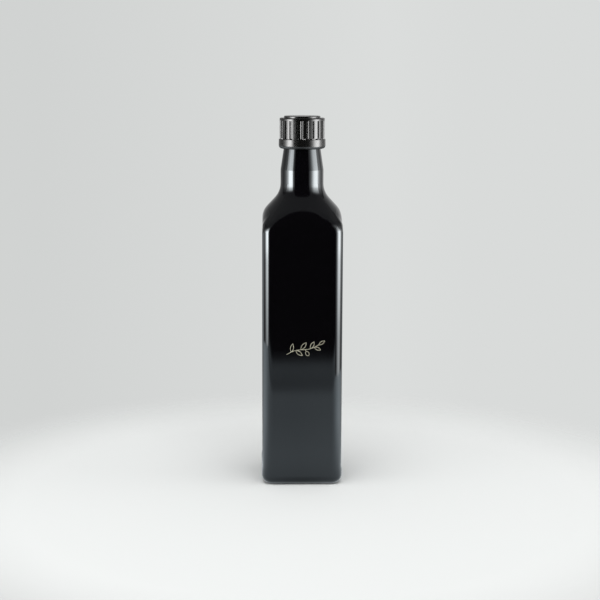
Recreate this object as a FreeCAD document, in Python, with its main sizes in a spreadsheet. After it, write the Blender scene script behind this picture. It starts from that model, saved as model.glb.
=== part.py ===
"""Square glass storage bottle with a tamper-evident screw cap.

Two pieces: the glass bottle, a square body under a turned shoulder, neck and finish, and the
moulded cap that screws over the finish. Millimetres, +Z up, origin at the centre of the base.
"""

import FreeCAD, Part
import math
import os
import re

import Sketcher
from FreeCAD import Placement, Rotation, Vector

doc = FreeCAD.newDocument("storage_bottle")

# ---------------------------------------------------------------------------------------------
# Driving dimensions
# ---------------------------------------------------------------------------------------------

DIMENSIONS = [
    ("body_side", 58.0, "width of the square body over its flat faces"),
    ("corner_radius", 7.5, "radius of the upright corners"),
    ("heel_flare", 0.4, "how far the contact band round the heel stands proud of each face"),
    ("heel_band_height", 10.0, "height of the contact band above the base"),
    ("heel_band_fade", 3.0, "height over which the band runs out into the faces"),
    ("heel_radius", 6.5, "rounding of the bottom edge"),
    ("punt_radius", 19.0, "radius of the hollow pushed up under the base"),
    ("punt_depth", 2.6, "height of that hollow at its middle"),
    ("punt_lip_radius", 1.5, "rounding of the ring that the bottle stands on"),
    ("turned_margin", 1.1, "how far the turned form clears the corners before it is squared"),
    ("shoulder_radius", 20.0, "convex arc that turns the corners into the shoulder"),
    ("shoulder_angle", 43.0, "slope of the shoulder, in degrees from upright"),
    ("root_radius", 15.0, "concave arc from the shoulder up into the neck"),
    ("face_blend", 13.0, "blend between shoulder and face, at the top of each arch"),
    ("corner_blend", 7.0, "the same blend where it meets the corners"),
    ("neck_radius", 15.7, "straight lower part of the neck"),
    ("neck_length", 9.9, "height of that straight part"),
    ("cone_length", 15.5, "height of the cone that narrows the neck to the finish"),
    ("throat_inset", 0.6, "how far the neck under the locking bead stands back from the finish"),
    ("throat_length", 2.4, "height of the throat"),
    ("bead_reach", 0.9, "how far the locking bead, which holds the tamper band, stands out from it"),
    ("bead_height", 2.1, "height of the locking bead"),
    ("bead_rounding", 0.7, "rounding of the bead's two edges"),
    ("finish_radius", 14.0, "glass inside the cap"),
    ("rim_height", 265.25, "height of the glass rim above the base"),
    ("finish_length", 15.75, "height of the finish from the bead up to the rim"),
    ("rim_rounding", 1.0, "rounding of the rim"),
    ("cap_clearance", 0.4, "gap between the finish and the skirt of the cap"),
    ("cap_wall", 2.0, "wall of the skirt, over the ribs"),
    ("cap_top", 1.6, "thickness of the top, over the rim"),
    ("cap_edge_radius", 0.8, "rounding of the top edge of the cap"),
    ("skirt_length", 12.95, "height of the skirt from the rim down to the slit"),
    ("disc_radius", 13.2, "raised disc on the top"),
    ("disc_height", 1.4, "height of the raised disc"),
    ("disc_edge_radius", 0.5, "rounding of the edge of the disc"),
    ("groove_count", 24, "grip grooves round the skirt"),
    ("groove_width", 1.9, "width of a groove at the outside"),
    ("groove_depth", 0.65, "depth of a groove"),
    ("groove_floor", 0.3, "width of the flat at the bottom of a groove"),
    ("plain_ring", 1.9, "plain height left above the grooves"),
    ("cap_turn", 12.1, "how far the screwed-down cap is turned, in degrees"),
    ("slit_height", 0.6, "tear slit between skirt and tamper band"),
    ("bridge_count", 20, "bridges that hold the band until the cap is first opened"),
    ("bridge_width", 1.1, "width of a bridge"),
    ("bridge_inset", 0.6, "how far the bridges stand back from the skirt"),
    ("band_clearance", 0.3, "gap between the locking bead and the band"),
    ("band_wall", 1.75, "wall of the tamper band at its top"),
    ("band_draft", 0.15, "how much wider the band is lower down"),
    ("band_height", 7.0, "height of the tamper band"),
    ("band_round", 2.5, "rounding under the band"),
    ("band_edge_radius", 0.3, "rounding of the top edge of the band"),
    ("lip_reach", 0.9, "how far the locking lip reaches in from the band, down to its foot"),
    ("lip_gap", 0.5, "gap between the lip and the bead above it"),
]

sheet = doc.addObject("Spreadsheet::Sheet", "Dims")
for row, (alias, value, note) in enumerate(DIMENSIONS, start=1):
    sheet.set(f"A{row}", note)
    sheet.set(f"B{row}", str(value))
    sheet.setAlias(f"B{row}", alias)
doc.recompute()


def dim(alias):
    """The value of a cell, for where a sketch's points start before its constraints hold."""
    return float(sheet.get(alias))


ALIASES = {alias for alias, _, _ in DIMENSIONS}


def bound(text):
    """An expression with each dimension's alias written as a cell of the sheet."""
    return re.sub(r"\b[a-z_]+\b", lambda word: f"Dims.{word[0]}" if word[0] in ALIASES else word[0], text)


# ---------------------------------------------------------------------------------------------
# Sketches
# ---------------------------------------------------------------------------------------------

ORIGIN = (-1, 1)
X_AXIS = -1
Y_AXIS = -2
START, END, CENTRE = 1, 2, 3


def new_body(name):
    return doc.addObject("PartDesign::Body", name)


def new_sketch(body, name, plane, turn=0.0, height=None):
    """A sketch on one of the body's own origin planes, turned about Z and raised by an expression."""
    sketch = body.newObject("Sketcher::SketchObject", name)
    support = next(f for f in body.Origin.OriginFeatures if f.Role == plane)
    sketch.AttachmentSupport = (support, [""])
    sketch.MapMode = "FlatFace"
    upright = plane != "XY_Plane"
    axis = Vector(0, 1, 0) if upright else Vector(0, 0, 1)
    sketch.AttachmentOffset = Placement(Vector(), Rotation(axis, turn))
    if height:
        sketch.setExpression(".AttachmentOffset.Base.z", bound(height))
    return sketch


def constrain(sketch, name, kind, where, expression):
    """A named dimension of a sketch, bound to the sheet."""
    index = sketch.addConstraint(Sketcher.Constraint(kind, *where, 1.0))
    sketch.renameConstraint(index, name)
    sketch.setExpression(f"Constraints.{name}", bound(expression))


def outline(sketch, corners):
    """A closed outline of straight lines.

    Each corner has a name and two expressions, its place along the sketch's X and Y. Where a value is
    that of the corner before, the line between is level or upright.
    """
    first = sketch.GeometryCount
    places = [[sketch.evalExpression(bound(text)) for text in corner[1:]] for corner in corners]
    places = [Vector(float(x), float(y), 0) for x, y in places]
    last = first + len(corners) - 1
    for start, end in zip(places, places[1:] + places[:1]):
        sketch.addGeometry(Part.LineSegment(start, end))
    for line in range(first, last):
        sketch.addConstraint(Sketcher.Constraint("Coincident", line, END, line + 1, START))
    sketch.addConstraint(Sketcher.Constraint("Coincident", last, END, first, START))
    for index, (name, across, along) in enumerate(corners):
        line = first + index
        before = corners[index - 1] if index else ("", None, None)
        if across == before[1]:
            sketch.addConstraint(Sketcher.Constraint("Vertical", line - 1))
        elif across == "0":
            sketch.addConstraint(Sketcher.Constraint("PointOnObject", line, START, Y_AXIS))
        else:
            constrain(sketch, f"{name}_x", "DistanceX", (*ORIGIN, line, START), across)
        if along == before[2]:
            sketch.addConstraint(Sketcher.Constraint("Horizontal", line - 1))
        elif along == "0":
            sketch.addConstraint(Sketcher.Constraint("PointOnObject", line, START, X_AXIS))
        else:
            constrain(sketch, f"{name}_y", "DistanceY", (*ORIGIN, line, START), along)


def rounded_square(sketch, side, corner):
    """Four sides joined by four equal corner arcs, centred on the origin."""
    half = dim("body_side") / 2
    inner = half - dim("corner_radius")
    for quarter in range(4):
        turn = Rotation(Vector(0, 0, 1), 90 * quarter)
        start, end = turn.multVec(Vector(-inner, -half, 0)), turn.multVec(Vector(inner, -half, 0))
        centre = turn.multVec(Vector(inner, -inner, 0))
        sketch.addGeometry(Part.LineSegment(start, end))
        circle = Part.Circle(centre, Vector(0, 0, 1), half - inner)
        first = math.radians(90 * quarter - 90)
        sketch.addGeometry(Part.ArcOfCircle(circle, first, first + math.pi / 2))
    for quarter in range(4):
        line, arc, after = 2 * quarter, 2 * quarter + 1, (2 * quarter + 2) % 8
        sketch.addConstraint(Sketcher.Constraint("Tangent", line, END, arc, START))
        sketch.addConstraint(Sketcher.Constraint("Tangent", arc, END, after, START))
    for arc in (3, 5, 7):
        sketch.addConstraint(Sketcher.Constraint("Equal", 1, arc))
    for line, way in ((0, "Horizontal"), (2, "Vertical"), (4, "Horizontal"), (6, "Vertical")):
        sketch.addConstraint(Sketcher.Constraint(way, line))
    sketch.addConstraint(Sketcher.Constraint("Symmetric", 0, START, 4, START, *ORIGIN))
    sketch.addConstraint(Sketcher.Constraint("Equal", 0, 2))
    constrain(sketch, "corner", "Radius", (1,), corner)
    constrain(sketch, "side", "DistanceY", (0, START, 4, START), side)


def trapezium(sketch, near, near_width, far, far_width):
    """A four-sided outline across the -Y axis, from one side at `near` to the other at `far`."""
    depths = [float(sketch.evalExpression(bound(text))) for text in (near, far)]
    widths = [float(sketch.evalExpression(bound(text))) for text in (near_width, far_width)]
    ends = ((-1, 0), (1, 0), (1, 1), (-1, 1))
    places = [Vector(sign * widths[end] / 2, -depths[end], 0) for sign, end in ends]
    for start, end in zip(places, places[1:] + places[:1]):
        sketch.addGeometry(Part.LineSegment(start, end))
    for line in range(4):
        sketch.addConstraint(Sketcher.Constraint("Coincident", line, END, (line + 1) % 4, START))
    for line, depth, width, name in ((0, near, near_width, "near"), (2, far, far_width, "far")):
        sketch.addConstraint(Sketcher.Constraint("Symmetric", line, START, line, END, Y_AXIS))
        constrain(sketch, f"{name}_width", "Distance", (line,), width)
        constrain(sketch, f"{name}_place", "DistanceY", (line, START, *ORIGIN), depth)


# ---------------------------------------------------------------------------------------------
# Features
# ---------------------------------------------------------------------------------------------


def pad(body, name, sketch, length):
    feature = body.newObject("PartDesign::Pad", name)
    feature.Profile = sketch
    feature.setExpression("Length", bound(length))
    doc.recompute()
    return feature


def turned(body, kind, name, sketch):
    """A full turn of a sketch about its own upright axis, added or cut."""
    feature = body.newObject(f"PartDesign::{kind}", name)
    feature.Profile = sketch
    feature.ReferenceAxis = (sketch, ["V_Axis"])
    feature.Angle = 360
    doc.recompute()
    return feature


def patterned_cut(body, name, sketch, height, count):
    """An upright cut, repeated round the Z axis."""
    cut = body.newObject("PartDesign::Pocket", f"{name}_cut")
    cut.Profile = sketch
    cut.Reversed = True
    cut.setExpression("Length", bound(height))
    ring = body.newObject("PartDesign::PolarPattern", f"{name}_ring")
    ring.Originals = [cut]
    ring.Axis = (next(f for f in body.Origin.OriginFeatures if f.Role == "Z_Axis"), [""])
    ring.Angle = 360
    ring.setExpression("Occurrences", bound(count))
    body.Tip = ring
    doc.recompute()
    return ring


def rounded(body, name, base, radius, chosen):
    """A fillet on the edges of the last feature that a test picks out."""
    fillet = body.newObject("PartDesign::Fillet", name)
    edges = [f"Edge{index}" for index, edge in enumerate(base.Shape.Edges, start=1) if chosen(edge)]
    fillet.Base = (base, edges)
    fillet.setExpression("Radius", bound(radius))
    doc.recompute()
    return fillet


def ring_at(radius, height):
    """A test for the whole circle of this radius about the Z axis at this height."""

    def chosen(edge):
        around = abs(edge.Length - 2 * math.pi * radius) < 0.01
        return around and abs(edge.CenterOfMass.z - height) < 0.01 and edge.isClosed()

    return chosen


# ---------------------------------------------------------------------------------------------
# Bottle: the square tower
# ---------------------------------------------------------------------------------------------

tower = new_body("tower")

plan = new_sketch(tower, "plan", "XY_Plane")
rounded_square(plan, "body_side", "corner_radius")
doc.recompute()
walls = pad(tower, "walls", plan, "rim_height")

band_side = "body_side + 2 * heel_flare"
band_corner = "corner_radius + heel_flare"
band_plan = new_sketch(tower, "band_plan", "XY_Plane")
rounded_square(band_plan, band_side, band_corner)
doc.recompute()
pad(tower, "contact_band", band_plan, "heel_band_height")

fade_foot = new_sketch(tower, "fade_foot", "XY_Plane", height="heel_band_height")
rounded_square(fade_foot, band_side, band_corner)
fade_head = new_sketch(tower, "fade_head", "XY_Plane", height="heel_band_height + heel_band_fade")
rounded_square(fade_head, "body_side", "corner_radius")
doc.recompute()
fade = tower.newObject("PartDesign::AdditiveLoft", "band_fade")
fade.Profile = fade_foot
fade.Sections = [fade_head]
fade.Ruled = True
doc.recompute()

heel = rounded(tower, "heel", fade, "heel_radius", lambda edge: edge.BoundBox.ZMax < 0.01)

hollow = new_sketch(tower, "hollow", "XZ_Plane", turn=45)
half_width, height = dim("punt_radius"), dim("punt_depth")
dome = (half_width**2 + height**2) / (2 * height)
swing = math.asin(half_width / dome)
dome_circle = Part.Circle(Vector(0, height - dome, 0), Vector(0, 0, 1), dome)
hollow.addGeometry(Part.LineSegment(Vector(0, 0, 0), Vector(half_width, 0, 0)))
hollow.addGeometry(Part.ArcOfCircle(dome_circle, math.pi / 2 - swing, math.pi / 2))
hollow.addGeometry(Part.LineSegment(Vector(0, height, 0), Vector(0, 0, 0)))
hollow.addConstraint(Sketcher.Constraint("Coincident", 0, START, *ORIGIN))
hollow.addConstraint(Sketcher.Constraint("Horizontal", 0))
hollow.addConstraint(Sketcher.Constraint("Coincident", 0, END, 1, START))
hollow.addConstraint(Sketcher.Constraint("Coincident", 1, END, 2, START))
hollow.addConstraint(Sketcher.Constraint("Coincident", 2, END, *ORIGIN))
hollow.addConstraint(Sketcher.Constraint("Vertical", 2))
hollow.addConstraint(Sketcher.Constraint("PointOnObject", 1, CENTRE, Y_AXIS))
constrain(hollow, "radius", "DistanceX", (0, START, 0, END), "punt_radius")
constrain(hollow, "depth", "DistanceY", (2, END, 2, START), "punt_depth")
doc.recompute()
punt = turned(tower, "Groove", "punt", hollow)
rounded(tower, "bearing_ring", punt, "punt_lip_radius", ring_at(dim("punt_radius"), 0))

# ---------------------------------------------------------------------------------------------
# Bottle: the turned form that rounds the tower over into shoulder, neck and finish
# ---------------------------------------------------------------------------------------------

throat = "finish_radius - throat_inset"
bead = "finish_radius + bead_reach"
bead_top = "rim_height - finish_length"
bead_foot = f"{bead_top} - bead_height"
cone_top = f"{bead_foot} - throat_length"
cone_foot = f"{cone_top} - cone_length"
neck_foot = f"{cone_foot} - neck_length"
corner_reach = "(body_side / 2 - corner_radius) * sqrt(2) + corner_radius"


def swung(centre, radius, degrees):
    """The point of an arc that lies this many degrees above its level."""
    turn = math.radians(degrees)
    return centre + Vector(radius * math.cos(turn), radius * math.sin(turn), 0)


form = new_body("form")
profile = new_sketch(form, "profile", "XZ_Plane", turn=45)
heights = (bead_top, bead_foot, cone_top, cone_foot, neck_foot)
levels = [float(profile.evalExpression(bound(height))) for height in heights]
reaches = (f"{corner_reach} + turned_margin", throat, bead)
widest, throat_reach, bead_wide = [float(profile.evalExpression(bound(reach))) for reach in reaches]
slope = dim("shoulder_angle")
root = Vector(dim("neck_radius") + dim("root_radius"), levels[4], 0)
shoulder_top = swung(root, dim("root_radius"), 180 + slope)
crown = swung(Vector(widest - dim("shoulder_radius"), 0, 0), dim("shoulder_radius"), slope)
rise = (crown.x - shoulder_top.x) / math.tan(math.radians(slope))
shoulder_foot = Vector(crown.x, shoulder_top.y - rise, 0)
hub = Vector(widest - dim("shoulder_radius"), shoulder_foot.y - crown.y, 0)
straight = [
    (Vector(0, 0, 0), Vector(widest, 0, 0)),
    (Vector(widest, 0, 0), Vector(widest, hub.y, 0)),
    (shoulder_foot, shoulder_top),
    (Vector(dim("neck_radius"), levels[4], 0), Vector(dim("neck_radius"), levels[3], 0)),
    (Vector(dim("neck_radius"), levels[3], 0), Vector(throat_reach, levels[2], 0)),
    (Vector(throat_reach, levels[2], 0), Vector(throat_reach, levels[1], 0)),
    (Vector(throat_reach, levels[1], 0), Vector(bead_wide, levels[1], 0)),
    (Vector(bead_wide, levels[1], 0), Vector(bead_wide, levels[0], 0)),
    (Vector(bead_wide, levels[0], 0), Vector(dim("finish_radius"), levels[0], 0)),
    (Vector(dim("finish_radius"), levels[0], 0), Vector(dim("finish_radius"), dim("rim_height"), 0)),
    (Vector(dim("finish_radius"), dim("rim_height"), 0), Vector(0, dim("rim_height"), 0)),
    (Vector(0, dim("rim_height"), 0), Vector(0, 0, 0)),
]
FOOT, SIDE, SLOPE, NECK, CONE, THROAT, BEAD_UNDER, BEAD, BEAD_OVER, FINISH, RIM, AXIS = range(12)
for start, end in straight:
    profile.addGeometry(Part.LineSegment(start, end))
up = Vector(0, 0, 1)
turn = math.radians(slope)
CROWN = profile.addGeometry(Part.ArcOfCircle(Part.Circle(hub, up, dim("shoulder_radius")), 0, turn))
root_circle = Part.Circle(root, up, dim("root_radius"))
ROOT = profile.addGeometry(Part.ArcOfCircle(root_circle, math.pi, math.pi + turn))
for first, second in ((FOOT, SIDE), *zip(range(NECK, AXIS), range(CONE, AXIS + 1)), (AXIS, FOOT)):
    profile.addConstraint(Sketcher.Constraint("Coincident", first, END, second, START))
for line in (FOOT, BEAD_UNDER, BEAD_OVER, RIM):
    profile.addConstraint(Sketcher.Constraint("Horizontal", line))
for line in (SIDE, NECK, THROAT, BEAD, FINISH, AXIS):
    profile.addConstraint(Sketcher.Constraint("Vertical", line))
profile.addConstraint(Sketcher.Constraint("Coincident", FOOT, START, *ORIGIN))
profile.addConstraint(Sketcher.Constraint("Tangent", SIDE, END, CROWN, START))
profile.addConstraint(Sketcher.Constraint("Tangent", CROWN, END, SLOPE, START))
profile.addConstraint(Sketcher.Constraint("Tangent", SLOPE, END, ROOT, END))
profile.addConstraint(Sketcher.Constraint("Tangent", ROOT, START, NECK, START))
constrain(profile, "widest", "DistanceX", (FOOT, START, FOOT, END), f"{corner_reach} + turned_margin")
constrain(profile, "crown", "Radius", (CROWN,), "shoulder_radius")
constrain(profile, "root", "Radius", (ROOT,), "root_radius")
constrain(profile, "slope", "Angle", (AXIS, END, SLOPE, START), "shoulder_angle")
constrain(profile, "neck_radius", "DistanceX", (*ORIGIN, NECK, START), "neck_radius")
constrain(profile, "neck_foot", "DistanceY", (*ORIGIN, NECK, START), neck_foot)
constrain(profile, "neck_length", "DistanceY", (NECK, START, NECK, END), "neck_length")
constrain(profile, "cone_length", "DistanceY", (CONE, START, CONE, END), "cone_length")
constrain(profile, "throat", "DistanceX", (*ORIGIN, THROAT, START), throat)
constrain(profile, "throat_length", "DistanceY", (THROAT, START, THROAT, END), "throat_length")
constrain(profile, "bead", "DistanceX", (*ORIGIN, BEAD, START), bead)
constrain(profile, "bead_height", "DistanceY", (BEAD, START, BEAD, END), "bead_height")
constrain(profile, "finish_radius", "DistanceX", (*ORIGIN, FINISH, START), "finish_radius")
constrain(profile, "finish_length", "DistanceY", (FINISH, START, FINISH, END), "finish_length")
doc.recompute()
turning = turned(form, "Revolution", "turning", profile)


def bead_edges(edge):
    """The locking bead's upper and lower edge."""
    return any(ring_at(bead_wide, height)(edge) for height in levels[:2])


bead_round = rounded(form, "bead_round", turning, "bead_rounding", bead_edges)
rounded(form, "rim_round", bead_round, "rim_rounding", ring_at(dim("finish_radius"), dim("rim_height")))

# ---------------------------------------------------------------------------------------------
# Bottle: tower and turned form in common, blended in one eighth and mirrored all round
# ---------------------------------------------------------------------------------------------

glass_form = doc.addObject("Part::Common", "glass_form")
glass_form.Base = tower
glass_form.Tool = form

sector = new_body("sector")
slice_plan = new_sketch(sector, "slice_plan", "XY_Plane", turn=-135)
outline(
    slice_plan,
    [("axis", "0", "0"), ("through_corner", "body_side", "body_side"), ("through_face", "0", "body_side")],
)
doc.recompute()
pad(sector, "slice", slice_plan, "rim_height")

eighth = doc.addObject("Part::Common", "eighth")
eighth.Base = glass_form
eighth.Tool = sector
doc.recompute()


def is_shoulder_seam(edge):
    """An edge where the tower's walls end against the turned shoulder."""
    point = edge.valueAt(sum(edge.ParameterRange) / 2)
    core = dim("body_side") / 2 - dim("corner_radius")
    across, along = abs(point.x) - core, abs(point.y) - core
    outside = math.hypot(max(across, 0), max(along, 0)) + min(max(across, along), 0)
    on_wall = abs(outside - dim("corner_radius")) < 0.01
    upright = edge.BoundBox.XLength < 0.01 and edge.BoundBox.YLength < 0.01
    return on_wall and not upright and point.z > dim("rim_height") / 2


def blend_at(point):
    """The blend's radius: small on the upright corner, wide at the head of the face's arch."""
    on_corner = min(abs(point.x), abs(point.y)) > dim("body_side") / 2 - dim("corner_radius") - 0.01
    return dim("corner_blend") if on_corner else dim("face_blend")


blended = doc.addObject("Part::Fillet", "shoulder_blend")
blended.Base = eighth
blends = []
for index, edge in enumerate(eighth.Shape.Edges, start=1):
    if is_shoulder_seam(edge):
        blends.append((index, *(blend_at(edge.valueAt(place)) for place in edge.ParameterRange)))
blended.Edges = blends
doc.recompute()

bottle = blended
for name, normal in (("corner", Vector(1, 1, 0)), ("half", Vector(1, 0, 0)), ("whole", Vector(0, 1, 0))):
    twin = doc.addObject("Part::Mirroring", f"{name}_twin")
    twin.Source = bottle
    twin.Normal = normal
    joined = doc.addObject("Part::Fuse", name)
    joined.Base = bottle
    joined.Tool = twin
    joined.Refine = True
    bottle = joined
doc.recompute()
bottle.Label = "bottle"

# ---------------------------------------------------------------------------------------------
# Cap: skirt and top in one moulding with the tamper band
# ---------------------------------------------------------------------------------------------

bore = "finish_radius + cap_clearance"
skirt = f"{bore} + cap_wall"
slit_top = "rim_height - skirt_length"
band_top = f"{slit_top} - slit_height"
band_foot = f"{band_top} - band_height"
band_bore = f"{bead} + band_clearance"
band_wide = f"{band_bore} + band_wall"
lip_top = f"{bead_foot} - lip_gap"
lip_bore = f"{band_bore} - lip_reach"
cap_shoulder = "rim_height + cap_top"
disc_top = f"{cap_shoulder} + disc_height"

cap = new_body("cap")
section = new_sketch(cap, "section", "XZ_Plane")
outline(
    section,
    [
        ("ceiling", "0", "rim_height"),
        ("bore", bore, "rim_height"),
        ("skirt_foot", bore, slit_top),
        ("bridges_in", band_bore, slit_top),
        ("lip_root", band_bore, lip_top),
        ("lip", lip_bore, lip_top),
        ("lip_foot", lip_bore, band_foot),
        ("band_foot", f"{band_wide} + band_draft", band_foot),
        ("band_head", band_wide, band_top),
        ("bridges_low", f"{skirt} - bridge_inset", band_top),
        ("bridges_high", f"{skirt} - bridge_inset", slit_top),
        ("skirt_rim", skirt, slit_top),
        ("shoulder", skirt, cap_shoulder),
        ("disc_foot", "disc_radius", cap_shoulder),
        ("disc", "disc_radius", disc_top),
        ("crown", "0", disc_top),
    ],
)
doc.recompute()
shell = turned(cap, "Revolution", "shell", section)


def place_of(*texts):
    return [float(section.evalExpression(bound(text))) for text in texts]


skirt_reach, shoulder_level, disc_level = place_of(skirt, cap_shoulder, disc_top)
foot_reach, foot_level, head_reach, head_level = place_of(
    f"{band_wide} + band_draft", band_foot, band_wide, band_top
)
edge_round = rounded(cap, "edge_round", shell, "cap_edge_radius", ring_at(skirt_reach, shoulder_level))
disc_rim = ring_at(dim("disc_radius"), disc_level)
disc_round = rounded(cap, "disc_round", edge_round, "disc_edge_radius", disc_rim)
foot_round = rounded(cap, "band_foot_round", disc_round, "band_round", ring_at(foot_reach, foot_level))
rounded(cap, "band_head_round", foot_round, "band_edge_radius", ring_at(head_reach, head_level))

window = new_sketch(cap, "window", "XY_Plane", height=band_top)
window.setExpression(".AttachmentOffset.Rotation.Angle", bound("cap_turn + 180 / bridge_count"))
between = "2 * ( {} ) * tan(180deg / bridge_count) - bridge_width / cos(180deg / bridge_count)"
trapezium(window, "finish_radius", between.format("finish_radius"), skirt, between.format(skirt))
doc.recompute()
patterned_cut(cap, "window", window, "slit_height", "bridge_count")

groove = new_sketch(cap, "groove", "XY_Plane", height=slit_top)
groove.setExpression(".AttachmentOffset.Rotation.Angle", bound("cap_turn"))
groove_mouth = "2 * groove_width - groove_floor"
trapezium(groove, f"{skirt} - groove_depth", "groove_floor", f"{skirt} + groove_depth", groove_mouth)
doc.recompute()
groove_height = f"{cap_shoulder} - plain_ring - ( {slit_top} )"
patterned_cut(cap, "groove", groove, groove_height, "groove_count")

# ---------------------------------------------------------------------------------------------
# Files
# ---------------------------------------------------------------------------------------------

doc.recompute()
for item in doc.Objects:
    bad = [state for state in item.State if state in ("Invalid", "Error")]
    if bad:
        raise RuntimeError(f"{item.Label}: {bad}")
    if item.isDerivedFrom("Sketcher::SketchObject") and not item.FullyConstrained:
        raise RuntimeError(f"{item.Label}: free to move")

os.makedirs("parts", exist_ok=True)
for piece in (bottle, cap):
    shape = piece.Shape
    if shape.isNull() or not shape.isValid() or len(shape.Solids) != 1:
        raise RuntimeError(f"{piece.Label}: not one valid solid")
    shape.exportStep(f"parts/{piece.Label}.step")
    box = shape.BoundBox
    print(piece.Label, len(shape.Faces), "faces", round(shape.Volume / 1000, 1), "cm3", box)
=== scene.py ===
"""Looks of the square glass storage bottle: black glass, a gilt sprig, a ribbed screw cap."""

import math

import bpy
from mathutils import Matrix, Vector


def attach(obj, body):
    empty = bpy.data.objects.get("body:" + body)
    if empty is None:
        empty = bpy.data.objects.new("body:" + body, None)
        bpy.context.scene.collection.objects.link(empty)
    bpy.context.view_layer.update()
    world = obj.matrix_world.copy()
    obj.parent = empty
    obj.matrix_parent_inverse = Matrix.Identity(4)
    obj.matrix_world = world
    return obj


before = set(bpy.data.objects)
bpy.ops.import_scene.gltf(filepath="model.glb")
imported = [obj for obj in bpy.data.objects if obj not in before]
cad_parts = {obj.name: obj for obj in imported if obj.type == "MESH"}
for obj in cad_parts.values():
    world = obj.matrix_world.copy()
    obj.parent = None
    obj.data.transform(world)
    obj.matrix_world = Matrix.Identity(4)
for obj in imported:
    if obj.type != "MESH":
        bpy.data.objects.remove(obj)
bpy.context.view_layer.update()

MM = 0.001
DEGREE = math.radians(1)
scene = bpy.context.scene
scene.view_settings.view_transform = "Standard"

# ---------------------------------------------------------------------------------------------
# Colours and nodes
# ---------------------------------------------------------------------------------------------


def linear(code, alpha=1.0):
    """A colour written as it is seen, such as "d9c48f", in the linear values that shaders take."""
    channels = [int(code[place:place + 2], 16) / 255 for place in (0, 2, 4)]
    return [c / 12.92 if c <= 0.04045 else ((c + 0.055) / 1.055) ** 2.4 for c in channels] + [alpha]


class Shader:
    """A material or a world under construction, with its node tree cleared."""

    def __init__(self, owner):
        owner.use_nodes = True
        self.tree = owner.node_tree
        self.tree.nodes.clear()

    def add(self, kind, settings=None, **inputs):
        """Adds a node. Settings are its properties; inputs are numbers, colours or sockets to link.
        An input is named by its socket, or by an underscore and its place."""
        node = self.tree.nodes.new(kind)
        for name, value in (settings or {}).items():
            setattr(node, name, value)
        for name, value in inputs.items():
            key = int(name[1:]) if name[1:].isdigit() else name.replace("_", " ")
            if isinstance(value, bpy.types.NodeSocket):
                self.tree.links.new(value, node.inputs[key])
            else:
                node.inputs[key].default_value = value
        return node


def ramp(shader, factor, stops):
    """A colour ramp from (place, colour) pairs."""
    node = shader.add("ShaderNodeValToRGB", Fac=factor)
    steps = node.color_ramp.elements
    while len(steps) < len(stops):
        steps.new(0.5)
    for step, (place, colour) in zip(steps, stops):
        step.position, step.color = place, colour
    return node.outputs["Color"]


def grey(value):
    return (value, value, value, 1.0)


def maths(shader, operation, *values):
    """The result of a Math node."""
    inputs = {f"_{place}": value for place, value in enumerate(values)}
    return shader.add("ShaderNodeMath", {"operation": operation}, **inputs).outputs[0]


def vector_maths(shader, operation, *values):
    """The outputs of a Vector Math node."""
    inputs = {f"_{place}": value for place, value in enumerate(values)}
    return shader.add("ShaderNodeVectorMath", {"operation": operation}, **inputs).outputs


def object_place(shader):
    return shader.add("ShaderNodeTexCoord").outputs["Object"]


def noise(shader, place, size, detail, roughness):
    """Noise whose largest patches are about this size."""
    settings = {"Vector": place, "Scale": 1 / size, "Detail": detail, "Roughness": roughness}
    return shader.add("ShaderNodeTexNoise", **settings).outputs["Fac"]


def spread(shader, value, low, high, floor=0.0, ceiling=1.0):
    """The value's range from low to high, spread over the range from floor to ceiling."""
    limits = {"From_Min": low, "From_Max": high, "To_Min": floor, "To_Max": ceiling}
    return shader.add("ShaderNodeMapRange", Value=value, **limits).outputs["Result"]


def surfaced(shader, surface):
    """Ends a material in this surface socket."""
    shader.add("ShaderNodeOutputMaterial", Surface=surface)


# ---------------------------------------------------------------------------------------------
# Materials of the bottle
# ---------------------------------------------------------------------------------------------


HEEL_STEP = (8 * MM, 30 * MM)


def black_glass():
    """Violet-black container glass, so dense that only its polished surface is seen: clean
    reflections over black. The mould leaves the walls a little uneven, and handling leaves a faint
    haze. Fire polishing rounds out the step above the heel's contact band, so that no line shows
    across the faces there: between HEEL_STEP's two heights the surface is shaded as upright."""
    material = bpy.data.materials.new("black_glass")
    shader = Shader(material)
    place = object_place(shader)
    height = shader.add("ShaderNodeSeparateXYZ", Vector=place).outputs["Z"]
    low, high = HEEL_STEP
    at_step = maths(shader, "COMPARE", height, (low + high) / 2, (high - low) / 2)
    normal = shader.add("ShaderNodeNewGeometry").outputs["Normal"]
    upright = vector_maths(shader, "MULTIPLY", normal, (1.0, 1.0, 0.0))[0]
    facing = shader.add(
        "ShaderNodeMix", {"data_type": "VECTOR"}, _0=at_step, _4=normal, _5=upright
    ).outputs[1]
    facing = vector_maths(shader, "NORMALIZE", facing)[0]
    mould = noise(shader, place, 35 * MM, 1.0, 0.4)
    bump = shader.add(
        "ShaderNodeBump", Strength=0.05, Distance=0.4 * MM, Height=mould, Normal=facing
    )
    haze = noise(shader, place, 22 * MM, 3.0, 0.6)
    surface = shader.add(
        "ShaderNodeBsdfPrincipled",
        Base_Color=linear("060507"),
        Specular_Tint=linear("f3fbff"),
        Roughness=spread(shader, haze, 0.35, 0.7, 0.035, 0.075),
        IOR=1.52,
        Normal=bump.outputs["Normal"],
    )
    surfaced(shader, surface.outputs["BSDF"])
    return material


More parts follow.
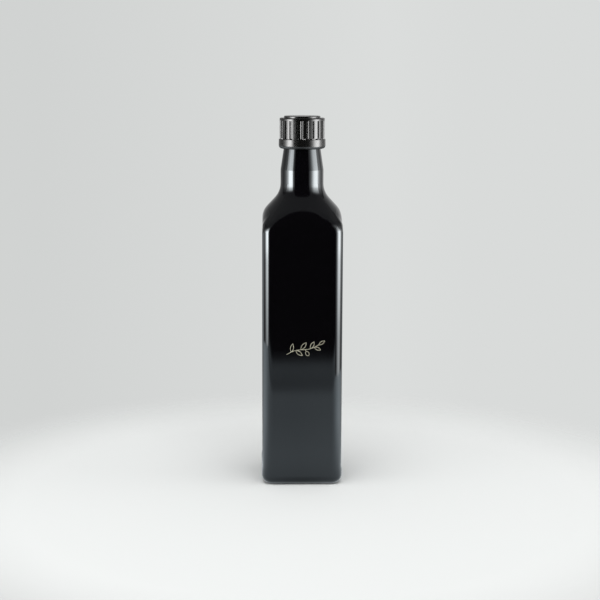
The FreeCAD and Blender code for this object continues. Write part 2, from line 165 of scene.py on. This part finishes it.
def cap_plastic():
    """Black moulded polypropylene: a soft gloss that spreads each highlight a little, over the
    fine grain that the mould leaves."""
    material = bpy.data.materials.new("cap_plastic")
    shader = Shader(material)
    place = object_place(shader)
    grain = noise(shader, place, 0.6 * MM, 2.0, 0.5)
    bump = shader.add("ShaderNodeBump", Strength=0.02, Distance=0.02 * MM, Height=grain)
    wear = noise(shader, place, 9 * MM, 2.0, 0.5)
    surface = shader.add(
        "ShaderNodeBsdfPrincipled",
        Base_Color=linear("0a0a09"),
        Roughness=spread(shader, wear, 0.35, 0.7, 0.20, 0.26),
        IOR=1.49,
        Normal=bump.outputs["Normal"],
    )
    surfaced(shader, surface.outputs["BSDF"])
    return material


def gilt_ink():
    """Pale gilt ceramic ink, screened and fired on: satin, with fine metal flake that breaks up
    the gloss, a little thinner here and there."""
    material = bpy.data.materials.new("gilt_ink")
    shader = Shader(material)
    flake = noise(shader, object_place(shader), 0.5 * MM, 2.0, 0.6)
    surface = shader.add(
        "ShaderNodeBsdfPrincipled",
        Base_Color=ramp(shader, flake, [(0.3, linear("b4b09a")), (0.7, linear("cbc7b0"))]),
        Metallic=0.25,
        Roughness=0.42,
        IOR=1.5,
    )
    surfaced(shader, surface.outputs["BSDF"])
    return material


def dress(node, material):
    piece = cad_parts[node]
    piece.data.materials.clear()
    piece.data.materials.append(material)
    return piece


bottle = dress("bottle", black_glass())
dress("cap", cap_plastic())

# ---------------------------------------------------------------------------------------------
# The sprig printed on the front: outlined leaves and fruit on a stem
# ---------------------------------------------------------------------------------------------

LINE = 0.34 * MM
INK = 0.05 * MM
SPRIG_HEIGHT = 101.5 * MM
STEM_LENGTH = 23 * MM
STEM_RISE = 7 * MM
STEM_SWAY = 1.0 * MM
STEM_STEPS = 24
# Leaves: share along the stem, lean from it in degrees, length in millimetres
LEAVES = (
    (0.14, 54, 6.2),
    (0.44, 50, 6.6),
    (0.74, 46, 5.8),
    (0.28, -52, 6.2),
    (0.86, -48, 5.2),
    (1.0, 4, 5.2),
)
LEAF_WIDTH = 0.38
FRUIT_AT, FRUIT_LEAN = 0.58, -66
STALK, FRUIT_DROP = 1.6 * MM, 3.3 * MM
FRUIT_LENGTH, FRUIT_WIDTH = 3.4 * MM, 2.5 * MM


def leaf_line(foot, bearing, length, width, steps=16):
    """The outline of a leaf, pointed at both ends, from its foot along a bearing."""
    along = Vector((math.cos(bearing), math.sin(bearing)))
    across = Vector((-along.y, along.x)) * width / 2

    def edge(share, side):
        return foot + along * length * share + side * across * math.sin(math.pi * share)

    out = [step / steps for step in range(steps + 1)]
    return [edge(share, 1) for share in out[:-1]] + [edge(share, -1) for share in out[:0:-1]]


def fruit_line(centre, bearing, length, width, steps=20):
    """The oval outline of a fruit."""
    along = Vector((math.cos(bearing), math.sin(bearing))) * length / 2
    across = Vector((-along.y, along.x)) * width / length
    turns = [2 * math.pi * step / steps for step in range(steps)]
    return [centre + along * math.cos(turn) + across * math.sin(turn) for turn in turns]


def stem_point(share):
    """The stem: a shallow S that climbs from its cut end to its tip."""
    sway = STEM_SWAY * math.sin(2 * math.pi * share)
    return Vector(((share - 0.5) * STEM_LENGTH, (share - 0.5) * STEM_RISE + sway))


def stem_bearing(share, reach=0.01):
    rise = stem_point(share + reach) - stem_point(share - reach)
    return math.atan2(rise.y, rise.x)


def sprig_lines():
    """Every line of the sprig, as (points, closed)."""
    lines = [([stem_point(step / STEM_STEPS) for step in range(STEM_STEPS + 1)], False)]
    for share, lean, length in LEAVES:
        bearing = stem_bearing(share) + math.radians(lean)
        size = length * MM, LEAF_WIDTH * length * MM
        lines.append((leaf_line(stem_point(share), bearing, *size), True))
    foot, drop = stem_point(FRUIT_AT), stem_bearing(FRUIT_AT) + math.radians(FRUIT_LEAN)
    hang = Vector((math.cos(drop), math.sin(drop)))
    lines.append(([foot, foot + hang * STALK], False))
    lines.append((fruit_line(foot + hang * FRUIT_DROP, drop, FRUIT_LENGTH, FRUIT_WIDTH), True))
    return lines


def ink_line(points, closed, verts, faces, glass):
    """Adds one line of ink as a thin closed bead along the points, sunk a hair into the glass."""
    count, first = len(points), len(verts)
    for index, point in enumerate(points):
        before = points[index - 1] if closed or index else point
        after = points[(index + 1) % count] if closed or index + 1 < count else point
        along = (after - before).normalized()
        across = Vector((-along.y, along.x)) * LINE / 2
        for edge, depth in ((across, INK), (-across, INK), (-across, -INK), (across, -INK)):
            spot = point + edge
            verts.append((spot.x, glass - depth, SPRIG_HEIGHT + spot.y))
    for index in range(count if closed else count - 1):
        here, there = first + 4 * index, first + 4 * ((index + 1) % count)
        for corner in range(4):
            after = (corner + 1) % 4
            faces.append((here + corner, here + after, there + after, there + corner))
    if not closed:
        last = first + 4 * (count - 1)
        faces.append((first + 3, first + 2, first + 1, first))
        faces.append((last, last + 1, last + 2, last + 3))


def sprig():
    """The printed sprig, on the plane of the front face."""
    glass = min(vert.co.y for vert in bottle.data.vertices if vert.co.z > HEEL_STEP[1])
    verts, faces = [], []
    for points, closed in sprig_lines():
        ink_line(points, closed, verts, faces, glass)
    mesh = bpy.data.meshes.new("sprig")
    mesh.from_pydata(verts, [], faces)
    mesh.materials.append(gilt_ink())
    piece = bpy.data.objects.new("sprig", mesh)
    scene.collection.objects.link(piece)
    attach(piece, "root")


sprig()

# ---------------------------------------------------------------------------------------------
# Stage: floor, backdrop, lights, and painted reflections of the table and of the dark room
# ---------------------------------------------------------------------------------------------

ROOM = 1.5
TABLE_REACH = 1.6
PAPER_END = 0.29
WALL_HEIGHT = 4.2


def staged(name, verts, faces, material):
    mesh = bpy.data.meshes.new(name)
    mesh.from_pydata(verts, [], faces)
    mesh.materials.append(material)
    item = bpy.data.objects.new(name, mesh)
    scene.collection.objects.link(item)
    return item


def level_sheet(name, left, right, front, back, height, material):
    plan = ((left, front), (right, front), (right, back), (left, back))
    return staged(name, [(x, y, height) for x, y in plan], [(0, 1, 2, 3)], material)


def clear(shader):
    return shader.add("ShaderNodeBsdfTransparent").outputs["BSDF"]


def floor_paper():
    """Matt white paper that runs out into the pale backdrop all round, where it is looked at."""
    material = bpy.data.materials.new("floor_paper")
    shader = Shader(material)
    centre = vector_maths(shader, "ADD", object_place(shader), (0.0, 0.05, 0.0))[0]
    away = vector_maths(shader, "LENGTH", centre)["Value"]
    running = shader.add(
        "ShaderNodeMapRange",
        {"interpolation_type": "SMOOTHSTEP"},
        Value=away,
        From_Min=0.20,
        From_Max=0.33,
    )
    looked_at = shader.add("ShaderNodeLightPath").outputs["Is Camera Ray"]
    mixed = shader.add(
        "ShaderNodeMixShader",
        Fac=maths(shader, "MULTIPLY", running.outputs["Result"], looked_at),
        _1=shader.add("ShaderNodeBsdfDiffuse", Color=linear("e7e9e8")).outputs["BSDF"],
        _2=clear(shader),
    )
    surfaced(shader, mixed.outputs["Shader"])
    return material


level_sheet("floor", -ROOM, ROOM, -ROOM, ROOM, 0.0, floor_paper())


def only_reflected(item):
    item.visible_camera = item.visible_diffuse = item.visible_shadow = False


def stage_place(shader):
    """The bearing of a point on the stage, in radians to the right of the front, its distance from
    the bottle's axis and its height."""
    place = object_place(shader)
    axes = shader.add("ShaderNodeSeparateXYZ", Vector=place).outputs
    bearing = maths(shader, "ARCTAN2", axes["X"], maths(shader, "MULTIPLY", axes["Y"], -1.0))
    level = vector_maths(shader, "MULTIPLY", place, (1.0, 1.0, 0.0))[0]
    return bearing, vector_maths(shader, "LENGTH", level)["Value"], axes["Z"]


def profile(shader, value, stops, unit):
    """Levels along a value, from (place, level) pairs whose places are in the unit given."""
    low, high = stops[0][0], stops[-1][0]
    share = spread(shader, value, low * unit, high * unit)
    steps = [((place - low) / (high - low), grey(level)) for place, level in stops]
    return ramp(shader, share, steps)


def product(shader, *factors):
    value = factors[0]
    for factor in factors[1:]:
        value = maths(shader, "MULTIPLY", value, factor)
    return value


def screen(name, distance, peak, across, upwards, steps=24):
    """A tall diffusing screen, lit from behind, that curves round one side of the bottle. Its light
    varies with the bearing, in degrees, and with the height, in millimetres, and near its top it
    runs out to nothing."""
    first, last, top = across[0][0], across[-1][0], upwards[-1][0]
    verts, faces = [], []
    for step in range(steps + 1):
        bearing = math.radians(first + (last - first) * step / steps)
        x, y = distance * math.sin(bearing), -distance * math.cos(bearing)
        verts += [(x, y, 0.0), (x, y, top * MM)]
    for step in range(steps):
        faces.append((2 * step, 2 * step + 1, 2 * step + 3, 2 * step + 2))
    material = bpy.data.materials.new(f"{name}_glow")
    shader = Shader(material)
    bearing, _, height = stage_place(shader)
    strength = product(
        shader, profile(shader, bearing, across, DEGREE), profile(shader, height, upwards, MM), peak
    )
    mixed = shader.add(
        "ShaderNodeMixShader",
        Fac=profile(shader, height, [(0.75 * top, 1), (top, 0)], MM),
        _1=clear(shader),
        _2=shader.add("ShaderNodeEmission", Strength=strength).outputs["Emission"],
    )
    surfaced(shader, mixed.outputs["Shader"])
    only_reflected(staged(name, verts, faces, material))


screen(
    "left_screen",
    0.55,
    22.0,
    [(-116, 0.012), (-104, 0.035), (-96, 0.08), (-88, 0.17), (-81, 0.36), (-75, 0.7)]
    + [(-71, 1.0), (-55, 1.0), (-49, 0.1), (-40, 0.01)],
    [(0, 0.2), (8, 0.23), (41, 0.335), (76, 0.5), (94, 0.56), (107, 0.9), (120, 1.0)]
    + [(250, 1.0), (290, 0.78), (330, 0.52), (380, 0.38), (430, 0.25), (500, 0.09), (600, 0.01)],
)
screen(
    "right_screen",
    0.40,
    18.0,
    [(34, 0.02), (41, 0.06), (48, 0.16), (53, 0.34), (59, 0.62), (65, 0.9), (70, 1.0), (82, 1.0)]
    + [(88, 0.75), (95, 0.28), (104, 0.13), (116, 0.05), (127, 0.02)],
    [(0, 0.28), (36, 0.33), (52, 0.4), (67, 0.5), (83, 0.58), (99, 0.67), (115, 0.74)]
    + [(127, 0.97), (150, 1.0), (235, 1.0), (265, 0.8), (300, 0.54), (350, 0.38), (400, 0.24)]
    + [(470, 0.09), (560, 0.01)],
)


def painted_table_reflection():
    """A glowing sheet, seen only in reflections, that paints the white table as the glass mirrors
    it: plain before the front, with a painted sheen that each screen leaves towards its own side,
    painted shade behind the bottle, and a painted shadow close round its foot. The sides and sheens
    run over the bearing in degrees, near and far outward in millimetres."""
    material = bpy.data.materials.new("painted_table_reflection")
    shader = Shader(material)
    bearing, distance, _ = stage_place(shader)
    right_painted_shade = [(95, 1), (115, 0.75), (142, 0.4), (160, 0.12), (180, 0.08)]
    left_painted_shade = [(-place, level) for place, level in reversed(right_painted_shade)]
    left_sheen = [(-160, 0.0), (-142, 0.05), (-117, 0.34), (-99, 0.62), (-83, 0.72), (-69, 0.6)]
    left_sheen += [(-56, 0.38), (-44, 0.21), (-32, 0.1), (0, 0.0)]
    right_sheen = [(17, 0.1), (28, 0.25), (40, 0.45), (52, 0.72), (65, 0.88), (79, 1.0)]
    right_sheen += [(95, 0.65), (113, 0.3), (139, 0.05), (160, 0.0)]
    # Near: the painted shadow of the bottle in the mirrored table, darker close round its foot.
    near = [(29, 0.45), (36, 0.6), (48, 0.84), (80, 0.96), (112, 1.0), (228, 0.84), (300, 0.84)]
    far = [(29, 0.1), (112, 0.45), (228, 1.0), (420, 1.0)]
    plain = product(
        shader,
        profile(shader, bearing, left_painted_shade + right_painted_shade, DEGREE),
        profile(shader, distance, near, MM),
        1.06,
    )
    sheen = product(
        shader,
        profile(shader, bearing, left_sheen + right_sheen, DEGREE),
        profile(shader, distance, far, MM),
        2.0,
    )
    both = maths(shader, "ADD", plain, sheen)
    # The painted table reflection glows with a faint cool tint.
    light = shader.add("ShaderNodeEmission", Color=(0.92, 1.0, 1.05, 1.0), Strength=both)
    surfaced(shader, light.outputs["Emission"])
    return material


# Seen only in reflections: the painted reflection of the table, with painted sheen and shade.
only_reflected(
    level_sheet("painted_table_reflection", -TABLE_REACH, TABLE_REACH, -0.52, TABLE_REACH, 0.0005, painted_table_reflection())
)


def lamp(name, place, size, power):
    """A soft lamp that faces the bottle's lower body. In reflections the screens replace it."""
    light = bpy.data.lights.new(name, "AREA")
    light.shape, light.size, light.energy = "SQUARE", size, power
    item = bpy.data.objects.new(name, light)
    aim = (Vector((0, 0, 0.08)) - place).to_track_quat("-Z", "Y").to_matrix().to_4x4()
    item.matrix_world = Matrix.Translation(place) @ aim
    item.visible_glossy = False
    scene.collection.objects.link(item)


lamp("left_lamp", Vector((-0.55, -0.24, 0.36)), 0.40, 0.5)
lamp("right_lamp", Vector((0.60, -0.06, 0.36)), 0.40, 0.5)
lamp("top_lamp", Vector((0.0, -0.35, 1.10)), 0.80, 7.2)


def running_out(name, share):
    """A dark sheet, seen only in reflections, that paints the dark of the room there and runs out
    to nothing where its share falls to 0.
    """
    material = bpy.data.materials.new(name)
    shader = Shader(material)
    mixed = shader.add(
        "ShaderNodeMixShader",
        Fac=share(shader),
        _1=clear(shader),
        _2=shader.add("ShaderNodeEmission", Color=grey(0.012)).outputs["Emission"],
    )
    surfaced(shader, mixed.outputs["Shader"])
    return material


def table_end(shader):
    """Painted reflection of the end of the table in front: the paper stops, the bare top shows past
    a fold of it, and then there is only the dark of the room. Places are in millimetres before the
    bottle's axis."""
    stops = [(290, 0.0), (310, 0.06), (334, 0.38), (354, 0.47), (385, 0.42), (422, 0.38)]
    stops += [(444, 0.48), (460, 0.68), (482, 0.9), (520, 1.0)]
    away = shader.add("ShaderNodeSeparateXYZ", Vector=object_place(shader)).outputs["Y"]
    return profile(shader, maths(shader, "MULTIPLY", away, -1.0), stops, MM)


def wall_top(shader):
    """The painted dark reflection thins out towards the wall's top. Places are in millimetres above
    the floor.
    """
    return profile(shader, stage_place(shader)[2], [(2600, 1.0), (3300, 0.6), (4200, 0.0)], MM)


# Dark sheets seen only in reflections: the painted dark of the room before and in front of the
# bottle.
painted_dark_front = running_out("table_end", table_end)
only_reflected(level_sheet("table_end", -ROOM, ROOM, -ROOM, -PAPER_END, 0.001, painted_dark_front))
outline = ((-ROOM, 0.0), (ROOM, 0.0), (ROOM, WALL_HEIGHT), (-ROOM, WALL_HEIGHT))
wall = [(x, -ROOM, z) for x, z in outline]
only_reflected(staged("dark_wall", wall, [(0, 1, 2, 3)], running_out("dark_wall", wall_top)))


def studio():
    """A pale backdrop for the eye. What the glass reflects is the same room, darker overhead and at
    its left. What lights the paper is a plain even fill."""
    world = bpy.data.worlds.new("studio")
    scene.world = world
    sky = Shader(world)
    towards = sky.add("ShaderNodeTexCoord").outputs["Generated"]
    axes = sky.add("ShaderNodeSeparateXYZ", Vector=towards).outputs
    tones = [(0.0, "d1d3d2"), (0.5, "d7d9d8"), (0.8, "dbdddc"), (1.0, "d9dbda")]
    sideways = spread(sky, axes["X"], -0.15, 0.15)
    pale = ramp(sky, sideways, [(place, linear(code)) for place, code in tones])
    levels = [(0.0, 0.3), (0.25, 0.35), (0.45, 0.66), (0.6, 0.72), (1.0, 0.8)]
    flank = spread(sky, axes["X"], -1.0, 1.0)
    walls = ramp(sky, flank, [(place, grey(level)) for place, level in levels])
    rise = spread(sky, axes["Z"], 0.25, 0.7)
    room = sky.add(
        "ShaderNodeMix", {"data_type": "RGBA"}, _0=rise, _6=walls, _7=grey(0.2)
    ).outputs[2]
    path = sky.add("ShaderNodeLightPath").outputs
    mirrored = maths(sky, "MAXIMUM", path["Is Glossy Ray"], path["Is Transmission Ray"])
    fill, mirrored_room, backdrop = [
        sky.add("ShaderNodeBackground", Color=colour).outputs["Background"]
        for colour in (grey(0.54), room, pale)
    ]
    unseen = sky.add("ShaderNodeMixShader", Fac=mirrored, _1=fill, _2=mirrored_room)
    shown = sky.add(
        "ShaderNodeMixShader", Fac=path["Is Camera Ray"], _1=unseen.outputs["Shader"], _2=backdrop
    )
    sky.add("ShaderNodeOutputWorld", Surface=shown.outputs["Shader"])


studio()

# ---------------------------------------------------------------------------------------------
# Camera
# ---------------------------------------------------------------------------------------------

camera = bpy.data.objects.new("camera", bpy.data.cameras.new("camera"))
camera.data.sensor_width = 36.0
camera.data.lens = 84.0
scene.collection.objects.link(camera)
around = Matrix.Rotation(-1.8 * DEGREE, 4, "Z")
stand = Matrix.Translation(Vector((-1.15, -1021.0, 304.9)) * MM)
down = Matrix.Rotation((90 - 9.554) * DEGREE, 4, "X")
roll = Matrix.Rotation(0.208 * DEGREE, 4, "Z")
camera.matrix_world = around @ stand @ down @ roll
scene.camera = camera
